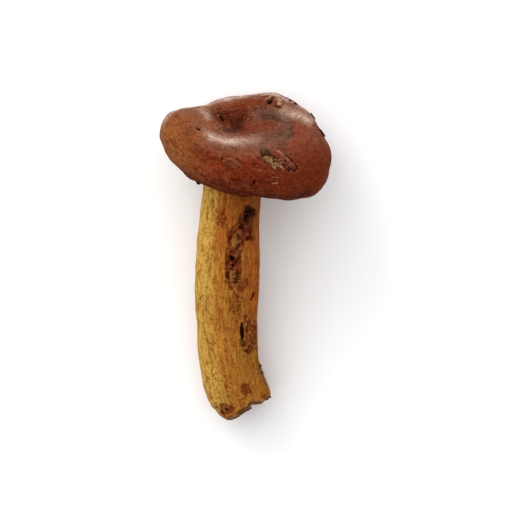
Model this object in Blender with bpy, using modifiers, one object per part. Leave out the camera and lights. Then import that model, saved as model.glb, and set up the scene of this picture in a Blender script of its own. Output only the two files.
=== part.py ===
"""A wild mushroom with a chestnut cap, picked and lying on its side.

Metres, +Z up. The mushroom rests on Z = 0 on two lobes of its cap and on the foot of its stem.
+Y runs from the torn foot towards the cap, +X to the right of someone who looks down on it with
the cap away from them. The origin is at the bottom centre of the whole object's box.
"""

import math

import bmesh
import bpy
from mathutils import Matrix, Vector, noise
from mathutils.bvhtree import BVHTree

MM = 0.001
GAP = 0.3 * MM  # left between neighbouring pieces
SMOOTHNESS = 2  # how many times the coarse cages are subdivided

# The cap is a wavy cushion: a thick rounded rim around an off-centre dimple. Its own frame has
# +Z out of the top, +X to the right and +Y to the side that lies on the ground.
CAP_CENTRE = Vector((-1.9, 44.8, 29.4)) * MM
CAP_LEAN_BACK = math.radians(25)  # how far the top faces up from the horizontal
CAP_LEAN_RIGHT = math.radians(16)

# One value for each sixteenth of the way round, from +X through +Y.
RIM_REACH = [
    36.5, 33.5, 33.0, 35.9, 30.4, 32.7, 35.0, 33.0,
    32.5, 33.0, 33.5, 33.5, 33.5, 34.5, 36.0, 37.0,
]
RIM_HALF_THICKNESS = [
    14.0, 12.0, 11.5, 12.5, 11.0, 11.0, 11.2, 11.5,
    12.0, 12.6, 12.6, 12.2, 11.5, 12.0, 13.0, 14.0,
]
RIM_LIFT = [
    0.5, 2.0, 4.5, 4.2, 2.0, -2.5, -7.0, -5.5,
    -2.0, -1.8, -1.4, -0.7, 0.0, 0.0, 0.0, 0.0,
]
SECTORS = len(RIM_REACH)
RIM_ARC_START = math.radians(110)  # where the dimple's slope meets the rim's round section
RIM_ARC_END = math.radians(-70)  # the margin, where the skin ends
RIM_ARC_STEPS = 8
MARGIN_WIDTH = 1.6 * MM

# The dimple is steep on the left. On the right a nearly flat shoulder fills it, by these shares.
DIMPLE_CENTRE = Vector((-9.0, 1.0)) * MM
DIMPLE_FLOOR = -0.5 * MM
DIMPLE_SLOPE = ((0.16, 0.04), (0.42, 0.36), (0.72, 0.84))  # share of the way out, share of the rise
SHOULDER_FILL = [1.0, 0.9, 0.6, 0.3, 0.1, 0.0, 0.0, 0.2, 0.4, 0.4, 0.4, 0.4, 0.5, 0.7, 0.9, 1.0]
FLESH_LEVEL = -6.0 * MM  # the underside of the cap's flesh, which carries the tubes and the stem

# The layer of tubes under the cap, whose mouths are the pores.
TUBE_DEPTH_AT_STEM = 4.6 * MM
TUBE_DEPTH_AT_MIDDLE = 6.6 * MM
TUBE_DEPTH_AT_RIM = 4.2 * MM
TUBE_HOLE_RADIUS = 13.8 * MM  # the stem goes through here

# Stations down the stem: the centre's X and Y, its height, then half the width and half the depth.
STEM_STATIONS = (
    (-5.3, 24.8, 26.0, 11.9, 12.1),
    (-6.7, 13.6, 24.2, 12.0, 12.0),
    (-7.4, 2.4, 22.0, 12.9, 12.6),
    (-7.8, -11.6, 19.2, 13.5, 13.2),
    (-8.1, -22.4, 17.0, 12.6, 12.6),
    (-7.7, -31.6, 15.4, 12.2, 12.4),
    (-6.9, -40.8, 13.9, 12.5, 12.5),
    (-4.9, -49.2, 12.8, 13.2, 12.6),
    (-2.6, -55.6, 12.0, 13.4, 12.2),
)
STEM_TOP_HALF_WIDTH = 13.2 * MM
STEM_NECK = 6.6 * MM  # how far down from the flesh the stem stays square to the cap
STEM_FOOT = Vector((0.9, -61.6, 11.6)) * MM  # the middle of the torn end
STEM_FOOT_HALF_WIDTH = 11.0 * MM
STEM_SIDES = 12
TORN_DEPTH = 1.8 * MM  # how far the torn end is out of flat
TORN_SLANT = 2.2 * MM  # how much further the torn end reaches on the right

# What sticks to the skin and to the foot: on which piece, a point near its place, which way its
# length runs, and its length, width and thickness.
LITTER = {
    "rim_scrap_upper": ("cap", (27.4, 56.3, 19.0), (0.6, -0.8, 0.0), (3.4, 2.0, 0.7)),
    "rim_scrap_lower": ("cap", (30.6, 49.6, 28.0), (0.45, -0.9, 0.1), (5.6, 2.4, 0.8)),
    "rim_speck_back": ("cap", (17.6, 63.2, 21.0), (1.0, -0.4, 0.0), (1.2, 0.9, 0.7)),
    "rim_speck_right": ("cap", (20.0, 61.8, 21.0), (1.0, -0.6, 0.0), (1.6, 1.0, 0.7)),
    "rim_speck_left": ("cap", (-18.4, 60.8, 21.0), (1.0, 0.2, 0.0), (1.3, 1.0, 0.8)),
    "margin_crumb": ("cap", (-18.9, 28.3, 47.0), (0.4, -1.0, 0.0), (2.0, 1.2, 1.0)),
    "foot_crumb_upper": ("stem", (6.2, -44.2, 17.0), (0.5, -1.0, 0.3), (1.5, 1.2, 1.1)),
    "foot_crumb_lower": ("stem", (7.6, -47.0, 17.0), (0.5, -1.0, 0.0), (1.7, 1.3, 1.1)),
    "soil_clod_left": ("stem", (-4.6, -65.6, 15.0), (1.0, 0.6, 0.0), (3.4, 2.6, 1.6)),
    "soil_clod_middle": ("stem", (1.4, -62.6, 15.0), (1.0, 0.5, 0.3), (3.8, 2.4, 1.6)),
    "soil_clod_right": ("stem", (9.0, -57.2, 14.0), (0.8, 0.7, 0.2), (3.0, 2.2, 1.4)),
}
LITTER_ROUGHNESS = 0.22  # how far a crumb's surface is out of round, as a share of its size
LITTER_SEED = 4

SKIN_COLOUR = (0.27, 0.075, 0.022, 1.0)
TUBE_COLOUR = (0.52, 0.42, 0.14, 1.0)
STEM_COLOUR = (0.52, 0.29, 0.07, 1.0)
LEAF_COLOUR = (0.045, 0.025, 0.015, 1.0)
SOIL_COLOUR = (0.11, 0.08, 0.055, 1.0)


def clear_scene():
    for obj in list(bpy.data.objects):
        bpy.data.objects.remove(obj)


def make_material(name, colour, roughness):
    material = bpy.data.materials.new(name)
    material.use_nodes = True
    shader = material.node_tree.nodes["Principled BSDF"]
    shader.inputs["Base Color"].default_value = colour
    shader.inputs["Roughness"].default_value = roughness
    shader.inputs["Metallic"].default_value = 0.0
    return material


def cage_reach(reach, step):
    """The radius that a cage needs for Subdivision Surface to bring its ring in to this reach."""
    return reach * 3 / (2 + math.cos(step))


def object_from_rings(name, rings, closed_loop, collection, material):
    """A soft form from a coarse cage of rings, each with the same number of points.

    The rings join end to end where closed_loop is set, as round a torus; else the first and the last are
    filled. The cage gets a Subdivision Surface.
    """
    cage = bmesh.new()
    rows = [[cage.verts.new(point) for point in ring] for ring in rings]
    pairs = list(zip(rows, rows[1:]))
    if closed_loop:
        pairs.append((rows[-1], rows[0]))
    for near, far in pairs:
        for i in range(len(near)):
            j = (i + 1) % len(near)
            cage.faces.new((near[i], near[j], far[j], far[i]))
    if not closed_loop:
        cage.faces.new(rows[0][::-1])
        cage.faces.new(rows[-1])
    bmesh.ops.recalc_face_normals(cage, faces=cage.faces)
    mesh = bpy.data.meshes.new(name)
    cage.to_mesh(mesh)
    cage.free()
    mesh.shade_smooth()
    obj = bpy.data.objects.new(name, mesh)
    obj.data.materials.append(material)
    collection.objects.link(obj)
    soften = obj.modifiers.new("Soften", "SUBSURF")
    soften.levels = soften.render_levels = SMOOTHNESS
    return obj


def rim_section(sector):
    """The middle and the half thickness of the rim's round section: (distance out, height, radius)."""
    radius = RIM_HALF_THICKNESS[sector] * MM
    return RIM_REACH[sector] * MM - radius, RIM_LIFT[sector] * MM, radius


def cap_point(sector, out, height):
    """A point of the cap in its own frame, this far out from its axis at this sector."""
    angle = 2 * math.pi * sector / SECTORS
    out = cage_reach(out, 2 * math.pi / SECTORS)
    return Vector((out * math.cos(angle), out * math.sin(angle), height))


def rim_point(sector, turn):
    """A point on the rim's round section, at this angle up from straight out."""
    middle, lift, radius = rim_section(sector)
    step = (RIM_ARC_START - RIM_ARC_END) / RIM_ARC_STEPS
    radius = cage_reach(radius, step)
    return cap_point(sector, middle + radius * math.cos(turn), lift + radius * math.sin(turn))


def dimple_ring(share_out, share_up):
    """A ring on the slope between the dimple's floor and the rim."""
    ring = []
    floor = Vector((DIMPLE_CENTRE.x, DIMPLE_CENTRE.y, DIMPLE_FLOOR))
    for sector in range(SECTORS):
        edge = rim_point(sector, RIM_ARC_START)
        point = floor.lerp(edge, share_out)
        rise = share_up ** (1 - 0.7 * SHOULDER_FILL[sector])
        point.z = DIMPLE_FLOOR + (edge.z - DIMPLE_FLOOR) * rise
        ring.append(point)
    return ring


def flesh_reach(sector):
    """How far out the flat underside of the flesh goes, inside the margin."""
    middle, _, radius = rim_section(sector)
    return middle + radius * math.cos(RIM_ARC_END) - MARGIN_WIDTH


def build_cap(collection):
    rings = [dimple_ring(out, up) for out, up in DIMPLE_SLOPE]
    for step in range(RIM_ARC_STEPS + 1):
        turn = RIM_ARC_START + (RIM_ARC_END - RIM_ARC_START) * step / RIM_ARC_STEPS
        rings.append([rim_point(sector, turn) for sector in range(SECTORS)])
    margin = rings[-1]
    rings.append([
        cap_point(s, flesh_reach(s), margin[s].z + 0.5 * MM) for s in range(SECTORS)
    ])
    for share in (1.0, 0.93, 0.55, 0.2):
        rings.append([cap_point(s, flesh_reach(s) * share, FLESH_LEVEL) for s in range(SECTORS)])
    skin = make_material("cap_skin", SKIN_COLOUR, 0.35)
    return object_from_rings("cap", rings, False, collection, skin)


def build_tube_layer(collection):
    """The ring of tubes: flat against the flesh, bulging below, with a hole for the stem."""
    top = FLESH_LEVEL - GAP

    def ring(share, depth):
        points = []
        for sector in range(SECTORS):
            outer = flesh_reach(sector) - 0.5 * MM
            out = TUBE_HOLE_RADIUS + (outer - TUBE_HOLE_RADIUS) * share
            points.append(cap_point(sector, out, top - depth))
        return points

    rings = [
        ring(0.0, 0.0),
        ring(0.2, 0.0),
        ring(0.8, 0.0),
        ring(1.0, 0.0),
        ring(1.0, TUBE_DEPTH_AT_RIM),
        ring(0.75, 0.5 * (TUBE_DEPTH_AT_RIM + TUBE_DEPTH_AT_MIDDLE)),
        ring(0.45, TUBE_DEPTH_AT_MIDDLE),
        ring(0.15, 0.5 * (TUBE_DEPTH_AT_STEM + TUBE_DEPTH_AT_MIDDLE)),
        ring(0.0, TUBE_DEPTH_AT_STEM),
    ]
    tubes = make_material("tubes", TUBE_COLOUR, 0.8)
    return object_from_rings("tube_layer", rings, True, collection, tubes)


def stem_ring(centre, along, half_width, half_depth, torn=0.0, slant=0.0):
    """A ring of the stem's cage across its line.

    A torn ring's points stand out of flat, and a slanted one reaches further down on the right.
    """
    side = along.cross(Vector((0, 0, 1))).normalized()
    up = side.cross(along).normalized()
    step = 2 * math.pi / STEM_SIDES
    points = []
    for i in range(STEM_SIDES):
        reach = side * math.cos(step * i) * half_width + up * math.sin(step * i) * half_depth
        ragged = torn * (math.sin(2 * step * i + 0.6) + 0.6 * math.cos(3 * step * i))
        ragged -= slant * math.cos(step * i)
        points.append(centre + reach * (3 / (2 + math.cos(step))) + along * ragged)
    return points


def build_stem(cap_matrix, collection):
    cap_up = cap_matrix.to_3x3() @ Vector((0, 0, 1))
    top = cap_matrix @ Vector((0, 0, FLESH_LEVEL - GAP))
    rings = []
    for depth, share in ((0.0, 0.6), (0.0, 0.96), (0.5 * STEM_NECK, 1.0), (STEM_NECK, 0.99)):
        width = STEM_TOP_HALF_WIDTH * share
        rings.append(stem_ring(top - cap_up * depth, cap_up, width, width))
    centres = [Vector(station[:3]) * MM for station in STEM_STATIONS] + [STEM_FOOT]
    before = top - cap_up * STEM_NECK
    for i, station in enumerate(STEM_STATIONS):
        along = ((centres[i - 1] if i else before) - centres[i + 1]).normalized()
        rings.append(stem_ring(centres[i], along, station[3] * MM, station[4] * MM))
    along = (centres[-2] - STEM_FOOT).normalized()
    for share, torn in ((1.0, 0.4), (0.94, 0.6), (0.6, 1.0), (0.25, 0.6)):
        width = STEM_FOOT_HALF_WIDTH * share
        rings.append(stem_ring(STEM_FOOT, along, width, width, torn * TORN_DEPTH, share * TORN_SLANT))
    flesh = make_material("stem_flesh", STEM_COLOUR, 0.6)
    return object_from_rings("stem", rings, False, collection, flesh)


def surface_of(obj):
    """The finished surface of an object, to find places on it."""
    finished = obj.evaluated_get(bpy.context.evaluated_depsgraph_get())
    surface = bmesh.new()
    surface.from_mesh(finished.to_mesh())
    surface.transform(finished.matrix_world)
    surface.normal_update()
    tree = BVHTree.FromBMesh(surface)
    surface.free()
    finished.to_mesh_clear()
    return tree


def height_over(tree, point):
    """How far a point is outside a surface, or less than nothing inside it."""
    nearest, normal, _, _ = tree.find_nearest(point)
    return (point - nearest).dot(normal)


def build_litter(name, tree, near, length_way, size, collection, material):
    """A crumb or a scrap that sticks to the surface, just clear of it."""
    place, normal, _, _ = tree.find_nearest(Vector(near) * MM)
    side = normal.cross(Vector(length_way)).normalized()
    way = side.cross(normal).normalized()
    lump = bmesh.new()
    bmesh.ops.create_icosphere(lump, subdivisions=2, radius=0.5)
    for vert in lump.verts:
        place_in_noise = vert.co * 3 + Vector((LITTER_SEED, len(name), size[0]))
        vert.co *= 1 + LITTER_ROUGHNESS * noise.noise(place_in_noise)
        vert.co = Vector([co * extent * MM for co, extent in zip(vert.co, size)])
    seat = Matrix.Translation(place) @ Matrix((way, side, normal)).transposed().to_4x4()
    lowest = min(height_over(tree, seat @ vert.co) for vert in lump.verts)
    mesh = bpy.data.meshes.new(name)
    lump.to_mesh(mesh)
    lump.free()
    mesh.shade_smooth()
    obj = bpy.data.objects.new(name, mesh)
    obj.data.materials.append(material)
    collection.objects.link(obj)
    obj.matrix_world = Matrix.Translation(normal * (GAP - lowest)) @ seat
    return obj


def stand_on_origin(objects):
    """Move the objects together, so that the bottom centre of their box is the origin."""
    graph = bpy.context.evaluated_depsgraph_get()
    corners = []
    for obj in objects:
        finished = obj.evaluated_get(graph)
        mesh = finished.to_mesh()
        corners += [finished.matrix_world @ vert.co for vert in mesh.vertices]
        finished.to_mesh_clear()
    low = Vector([min(corner[axis] for corner in corners) for axis in range(3)])
    high = Vector([max(corner[axis] for corner in corners) for axis in range(3)])
    shift = Vector((-(low.x + high.x) / 2, -(low.y + high.y) / 2, -low.z))
    for obj in objects:
        obj.matrix_world = Matrix.Translation(shift) @ obj.matrix_world


def main():
    clear_scene()
    collection = bpy.data.collections.new("mushroom")
    bpy.context.scene.collection.children.link(collection)
    cap_matrix = (
        Matrix.Translation(CAP_CENTRE)
        @ Matrix.Rotation(-CAP_LEAN_RIGHT, 4, "Z")
        @ Matrix.Rotation(CAP_LEAN_BACK - math.pi / 2, 4, "X")
    )
    cap = build_cap(collection)
    tube_layer = build_tube_layer(collection)
    stem = build_stem(cap_matrix, collection)
    cap.matrix_world = cap_matrix
    tube_layer.matrix_world = cap_matrix
    bpy.context.view_layer.update()
    objects = [cap, tube_layer, stem]
    trees = {"cap": surface_of(cap), "stem": surface_of(stem)}
    litter = {
        "cap": make_material("leaf_litter", LEAF_COLOUR, 0.8),
        "stem": make_material("soil", SOIL_COLOUR, 0.9),
    }
    for name, (carrier, near, length_way, size) in LITTER.items():
        lump = build_litter(name, trees[carrier], near, length_way, size, collection, litter[carrier])
        objects.append(lump)
    bpy.context.view_layer.update()
    stand_on_origin(objects)


main()
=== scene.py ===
"""The looks of a picked bay bolete that lies on its side, seen from straight above.

Places that come from the photograph are named by their pixels, and are found on the mushroom by a ray
from the camera. Lengths are in metres, written as millimetres times MM.
"""

import math
import random
from functools import reduce

import bmesh
import bpy
import numpy as np
from mathutils import Matrix, Vector
from mathutils.bvhtree import BVHTree
from mathutils.kdtree import KDTree


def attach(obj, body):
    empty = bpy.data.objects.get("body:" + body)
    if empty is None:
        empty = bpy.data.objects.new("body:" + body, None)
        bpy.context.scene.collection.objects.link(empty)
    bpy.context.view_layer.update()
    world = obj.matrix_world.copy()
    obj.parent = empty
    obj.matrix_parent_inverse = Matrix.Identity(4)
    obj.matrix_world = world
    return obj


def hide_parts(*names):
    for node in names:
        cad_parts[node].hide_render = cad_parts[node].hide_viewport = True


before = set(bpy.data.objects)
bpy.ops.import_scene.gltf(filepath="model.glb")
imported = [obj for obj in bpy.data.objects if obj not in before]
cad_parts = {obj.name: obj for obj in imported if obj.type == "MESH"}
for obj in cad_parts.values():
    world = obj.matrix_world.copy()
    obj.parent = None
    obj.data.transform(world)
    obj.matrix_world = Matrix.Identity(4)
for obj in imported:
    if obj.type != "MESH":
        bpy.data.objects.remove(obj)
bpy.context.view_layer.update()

MM = 0.001

# The camera looks straight down. At SHARP_HEIGHT one pixel of the photograph is PIXEL across.
PHOTO_SIZE = 512
PHOTO_MIDDLE = Vector((245.75, 256.0))  # the pixel over the frame's origin
PIXEL = 0.4 * MM
SHARP_HEIGHT = 20 * MM
CAMERA_RISE = 0.9
CAMERA_CLIP = 0.01
SENSOR = 36.0
CAMERA_PLACE = Vector(((PHOTO_SIZE / 2 - PHOTO_MIDDLE.x) * PIXEL, 0, SHARP_HEIGHT + CAMERA_RISE))

# The studio.
DOME_AIM = Vector((-0.5, 0.62, 0.6)).normalized()
DOME_EDGE = -0.3  # from this much towards DOME_AIM on, the dome grows from dim to bright
DOME_DIM = 0.3
DOME_BRIGHT = 1.9
SOFTBOX_PLACE = (-0.55, 0.75, 0.55)
SOFTBOX_AIM = Vector((0, 0, 20 * MM))
SOFTBOX_SIZE = 0.6
SOFTBOX_POWER = 3
SOFTBOX_COLOUR = (1.0, 0.985, 0.96)
FLOOR_SIZE = 6
FLOOR_COLOUR = (0.92, 0.92, 0.92, 1)

# The cap's own frame, as the CAD model has it: +Z out of its top, +Y to the side on the ground.
CAP_CENTRE = Vector((-1.36, 45.18, 29.45)) * MM
CAP_LEAN_BACK = math.radians(25)
CAP_LEAN_RIGHT = math.radians(16)
CAP_MATRIX = (
    Matrix.Translation(CAP_CENTRE)
    @ Matrix.Rotation(-CAP_LEAN_RIGHT, 4, "Z")
    @ Matrix.Rotation(CAP_LEAN_BACK - math.pi / 2, 4, "X")
)
CAP_AXES = np.array(CAP_MATRIX.to_3x3())
CAP_UP = CAP_AXES[:, 2]
RIM_MIDDLE = 21.5 * MM  # how far out the middle of the rim's round section is
RIM_RADIUS = 12 * MM
MARGIN_TURN = math.radians(-70)  # where on that section the skin ends
GRAIN_REACH = 9.0  # how many millimetres out the cap's streaks start to run round it

# Each piece's mesh: its grain, and how many rounds of smoothing it gets.
ROUGH_CAP_MESH = (0.55 * MM, 12)
CAP_MESH = (0.41 * MM, 6)
STEM_MESH = (0.365 * MM, 30)
TUBE_MESH = (0.27 * MM, 12)
LITTER_MESH = (0.1 * MM, 4)
WELD = 1e-6

# How much of each surface's normal has to face the camera for it to show, a little and in full.
TURNED_AWAY = 0.02
IN_FULL_VIEW = 0.25
RAY_CLEARANCE = 0.2 * MM
SHOWN_BLUR = 6

# How much each finer octave of noise weighs, how far its lattice is shifted, and its hash.
OCTAVES = (1.0, 0.5)
OCTAVE_SHIFT = 19.7
AXIS_PRIMES = (73856093, 19349663, 83492791)
SEED_PRIME = 40503
MIX_PRIME = 1274126177

FLESH_SPECULAR = 0.006
TUBE_SPECULAR = 0.05
LITTER_SPECULAR = 0.01

# The sockets of a colour Mix node.
MIX_UNDER, MIX_OVER, MIX_RESULT = 6, 7, 2


def smoothstep(value, low, high):
    """0 up to low, 1 from high on, and smooth between them."""
    share = np.clip((value - low) / (high - low), 0, 1)
    return share * share * (3 - 2 * share)


def lattice_value(corner, seed):
    """A repeatable value from -1 to 1 for each whole-number point."""
    mixed = seed * SEED_PRIME
    for axis, prime in enumerate(AXIS_PRIMES):
        mixed = mixed ^ (corner[:, axis].astype(np.int64) * prime)
    mixed = ((mixed ^ (mixed >> 13)) * MIX_PRIME) & 0xFFFFFFFF
    mixed = mixed ^ (mixed >> 16)
    return (mixed & 0xFFFF) / 32767.5 - 1


def noise(points, size, seed=0):
    """Smooth noise from about -1 to 1, with bumps about this size across."""
    total = np.zeros(len(points))
    for octave, weight in enumerate(OCTAVES):
        at = points / (size * 0.5**octave) + OCTAVE_SHIFT * octave
        cell = np.floor(at)
        share = at - cell
        share = share * share * (3 - 2 * share)
        sides = (1 - share, share)
        for dx, dy, dz in np.ndindex(2, 2, 2):
            part = sides[dx][:, 0] * sides[dy][:, 1] * sides[dz][:, 2]
            total += weight * part * lattice_value(cell + (dx, dy, dz), seed + octave)
    return total / sum(OCTAVES)


def waves(points, table):
    """The sum of these noises. Each has a height, a size and a seed."""
    return sum(height * noise(points, size, seed) for height, size, seed in table)


def crumbs(points, size, seed):
    """The ups and downs of torn and eaten flesh, from about -1 to 1."""
    return waves(points, [(1.3, size, seed), (0.5, size / 2.5, seed + 3)])


def link(obj):
    bpy.context.scene.collection.objects.link(obj)
    return obj


def remesh(obj, voxel, rounds):
    """Give an object an even mesh of this grain, and smooth its facets away."""
    fine = obj.modifiers.new("Fine", "REMESH")
    fine.mode = "VOXEL"
    fine.voxel_size = voxel
    even = obj.modifiers.new("Even", "SMOOTH")
    even.factor = 0.5
    even.iterations = rounds
    bpy.context.view_layer.update()
    finished = bpy.data.meshes.new_from_object(obj.evaluated_get(bpy.context.evaluated_depsgraph_get()))
    obj.modifiers.clear()
    obj.data = finished
    finished.shade_smooth()


def fine_copy(node, name, voxel, rounds):
    """A closed and even copy of a CAD node's surface."""
    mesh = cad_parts[node].data.copy()
    mesh.name = name
    mesh.materials.clear()
    welded = bmesh.new()
    welded.from_mesh(mesh)
    bmesh.ops.remove_doubles(welded, verts=welded.verts, dist=WELD)
    welded.to_mesh(mesh)
    welded.free()
    obj = link(bpy.data.objects.new(name, mesh))
    remesh(obj, voxel, rounds)
    return obj


def read_all(items, field, width, kind):
    """One field of all of a mesh's vertices or edges, as an array with this many columns."""
    flat = np.empty(len(items) * width, kind)
    items.foreach_get(field, flat)
    return flat.reshape(-1, width)


def gap_from(line, points):
    """How far each point is from the line through these places, or from the only one."""
    if len(line) == 1:
        return np.linalg.norm(points - line[0], axis=1)
    nearest = np.full(len(points), np.inf)
    for start, end in zip(line, line[1:]):
        run = end - start
        share = np.clip((points - start) @ run / (run @ run), 0, 1)
        nearest = np.minimum(nearest, np.linalg.norm(points - start - share[:, None] * run, axis=1))
    return nearest


class Surface:
    """A piece's fine mesh as arrays, on which its features are carved and its colours are masked."""

    def __init__(self, obj):
        self.obj = obj
        self.read()

    def read(self):
        """Read the mesh's places and normals, and where each vertex is in the photograph."""
        mesh = self.obj.data
        self.co = read_all(mesh.vertices, "co", 3, np.float32).astype(float)
        self.normal = read_all(mesh.vertex_normals, "vector", 3, np.float32).astype(float)
        self.tree = BVHTree.FromObject(self.obj, bpy.context.evaluated_depsgraph_get())
        scale = CAMERA_RISE / PIXEL / (CAMERA_PLACE.z - self.co[:, 2])
        self.photo_x = PHOTO_SIZE / 2 + (self.co[:, 0] - CAMERA_PLACE.x) * scale
        self.photo_y = PHOTO_SIZE / 2 - self.co[:, 1] * scale

    def look(self):
        """Note how far each vertex shows from the camera: 0 where it is hidden or turned away."""
        self.shown = smoothstep(self.normal[:, 2], TURNED_AWAY, IN_FULL_VIEW)
        for i in np.flatnonzero(self.shown):
            start = Vector(self.co[i] + self.normal[i] * RAY_CLEARANCE)
            if self.tree.ray_cast(start, CAMERA_PLACE - start)[0] is not None:
                self.shown[i] = 0

    def blur_shown(self, rounds):
        """Let what shows fade out into what is hidden, over this many edges."""
        ends = read_all(self.obj.data.edges, "vertices", 2, np.int32)
        ends = np.concatenate([ends, ends[:, ::-1]])
        neighbours = np.bincount(ends[:, 0], minlength=len(self.co))
        for _ in range(rounds):
            total = np.bincount(ends[:, 0], self.shown[ends[:, 1]], len(self.co))
            self.shown = total / neighbours

    def move(self, shift):
        """Shift every vertex, then read the surface again."""
        self.co = self.co + shift
        self.obj.data.vertices.foreach_set("co", self.co.astype(np.float32).ravel())
        self.obj.data.update()
        bpy.context.view_layer.update()
        self.read()

    def carve(self, depth):
        """Push the surface in by this depth at each vertex, or out where it is below nothing."""
        self.move(-self.normal * depth[:, None])

    def sink(self, depth):
        """Push the side that shows away from the camera by this depth at each vertex."""
        self.move(np.array((0, 0, -1.0)) * (depth * self.shown)[:, None])

    def pixels_from(self, pixels):
        """How many pixels each vertex is from the line through these, as the photograph shows it."""
        photo = np.stack([self.photo_x, self.photo_y], axis=1)
        return gap_from(np.array(pixels, float), photo)

    def around(self, pixels, reach):
        """A mask that fades out over this many pixels from a line, also on what is hidden below it."""
        return np.exp(-((self.pixels_from(pixels) / reach) ** 2))

    def near(self, pixels, reach):
        """A mask that fades out over this many pixels from a line, on what shows."""
        return self.around(pixels, reach) * self.shown

    def region(self, corners, soft, wobble=0.0, seed=0):
        """A mask of what shows inside this outline of pixels, softened over this many of them."""
        inside = np.zeros(len(self.co), bool)
        for (x0, y0), (x1, y1) in zip(corners, corners[1:] + corners[:1]):
            if y0 != y1:
                at = x0 + (self.photo_y - y0) * (x1 - x0) / (y1 - y0)
                inside ^= ((y0 > self.photo_y) != (y1 > self.photo_y)) & (self.photo_x < at)
        gap = self.pixels_from(corners + corners[:1])
        signed = np.where(inside, gap, -gap)
        if wobble:
            signed = signed + wobble * noise(self.co / MM, 1.8, seed)
        return smoothstep(signed, -soft / 2, soft / 2) * self.shown

    def spot(self, pixel):
        """The place on the surface that shows at this pixel of the photograph."""
        flat = (Vector(pixel) - PHOTO_MIDDLE) * PIXEL
        target = Vector((flat.x, -flat.y, SHARP_HEIGHT))
        hit = self.tree.ray_cast(CAMERA_PLACE, (target - CAMERA_PLACE).normalized())[0]
        return self.tree.find_nearest(target)[0] if hit is None else hit

    def mark(self, pixels, radius, soft, wobble=0.0):
        """A mask that is 1 along these pixels and fades out at this radius, all in millimetres."""
        gap = gap_from(np.array([self.spot(pixel) for pixel in pixels]), self.co) / MM
        if wobble:
            gap = gap + wobble * noise(self.co / MM, 2.5 * max(wobble, 0.3))
        return 1 - smoothstep(gap, radius - soft / 2, radius + soft / 2)

    def strongest(self, features):
        """The strongest at each vertex of these features. Each has a weight, a kind and its values."""
        return np.maximum.reduce([weight * kind(self, *values) for weight, kind, *values in features])

    def find(self, table):
        """The mask of every name in a table of features."""
        return {name: self.strongest(features) for name, features in table.items()}

    def store(self, masks):
        """Keep these masks on the mesh for its material."""
        for name, values in masks.items():
            attribute = self.obj.data.attributes.new(name, "FLOAT", "POINT")
            attribute.data.foreach_set("value", np.asarray(values, np.float32))

    def store_grain(self, grain):
        """Keep the coordinates of the streaks on the mesh."""
        attribute = self.obj.data.attributes.new("grain", "FLOAT_VECTOR", "POINT")
        attribute.data.foreach_set("vector", grain.astype(np.float32).ravel())


# The kinds of feature, and their values: a LINE has its pixels, its radius, how soft its edge is and
# how much that wobbles, in millimetres. An AREA has the pixels round it, how soft its edge is in
# pixels, how much that wobbles, and a seed. A GLOW has its pixels and how many it fades over.
LINE, AREA, GLOW = Surface.mark, Surface.region, Surface.near


def linear(red, green, blue):
    """A colour given as it looks on a screen, 0 to 255, in the renderer's linear values."""
    values = []
    for value in (red, green, blue):
        share = value / 255
        values.append(share / 12.92 if share <= 0.04045 else ((share + 0.055) / 1.055) ** 2.4)
    return (*values, 1.0)


def put(tree, socket, value):
    """Give a socket a number, a colour, the output of a node, or the mask stored under a name."""
    if isinstance(value, str):
        value = add_node(tree, "Attribute", {}, attribute_name=value)["Fac"]
    if isinstance(value, bpy.types.NodeSocket):
        tree.links.new(value, socket)
    else:
        socket.default_value = value


def add_node(tree, kind, inputs, **settings):
    """Add a node with these inputs and settings, and return its outputs."""
    node = tree.nodes.new("ShaderNode" + kind)
    for name, value in settings.items():
        setattr(node, name, value)
    for key, value in inputs.items():
        put(tree, node.inputs[key], value)
    return node.outputs


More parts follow.
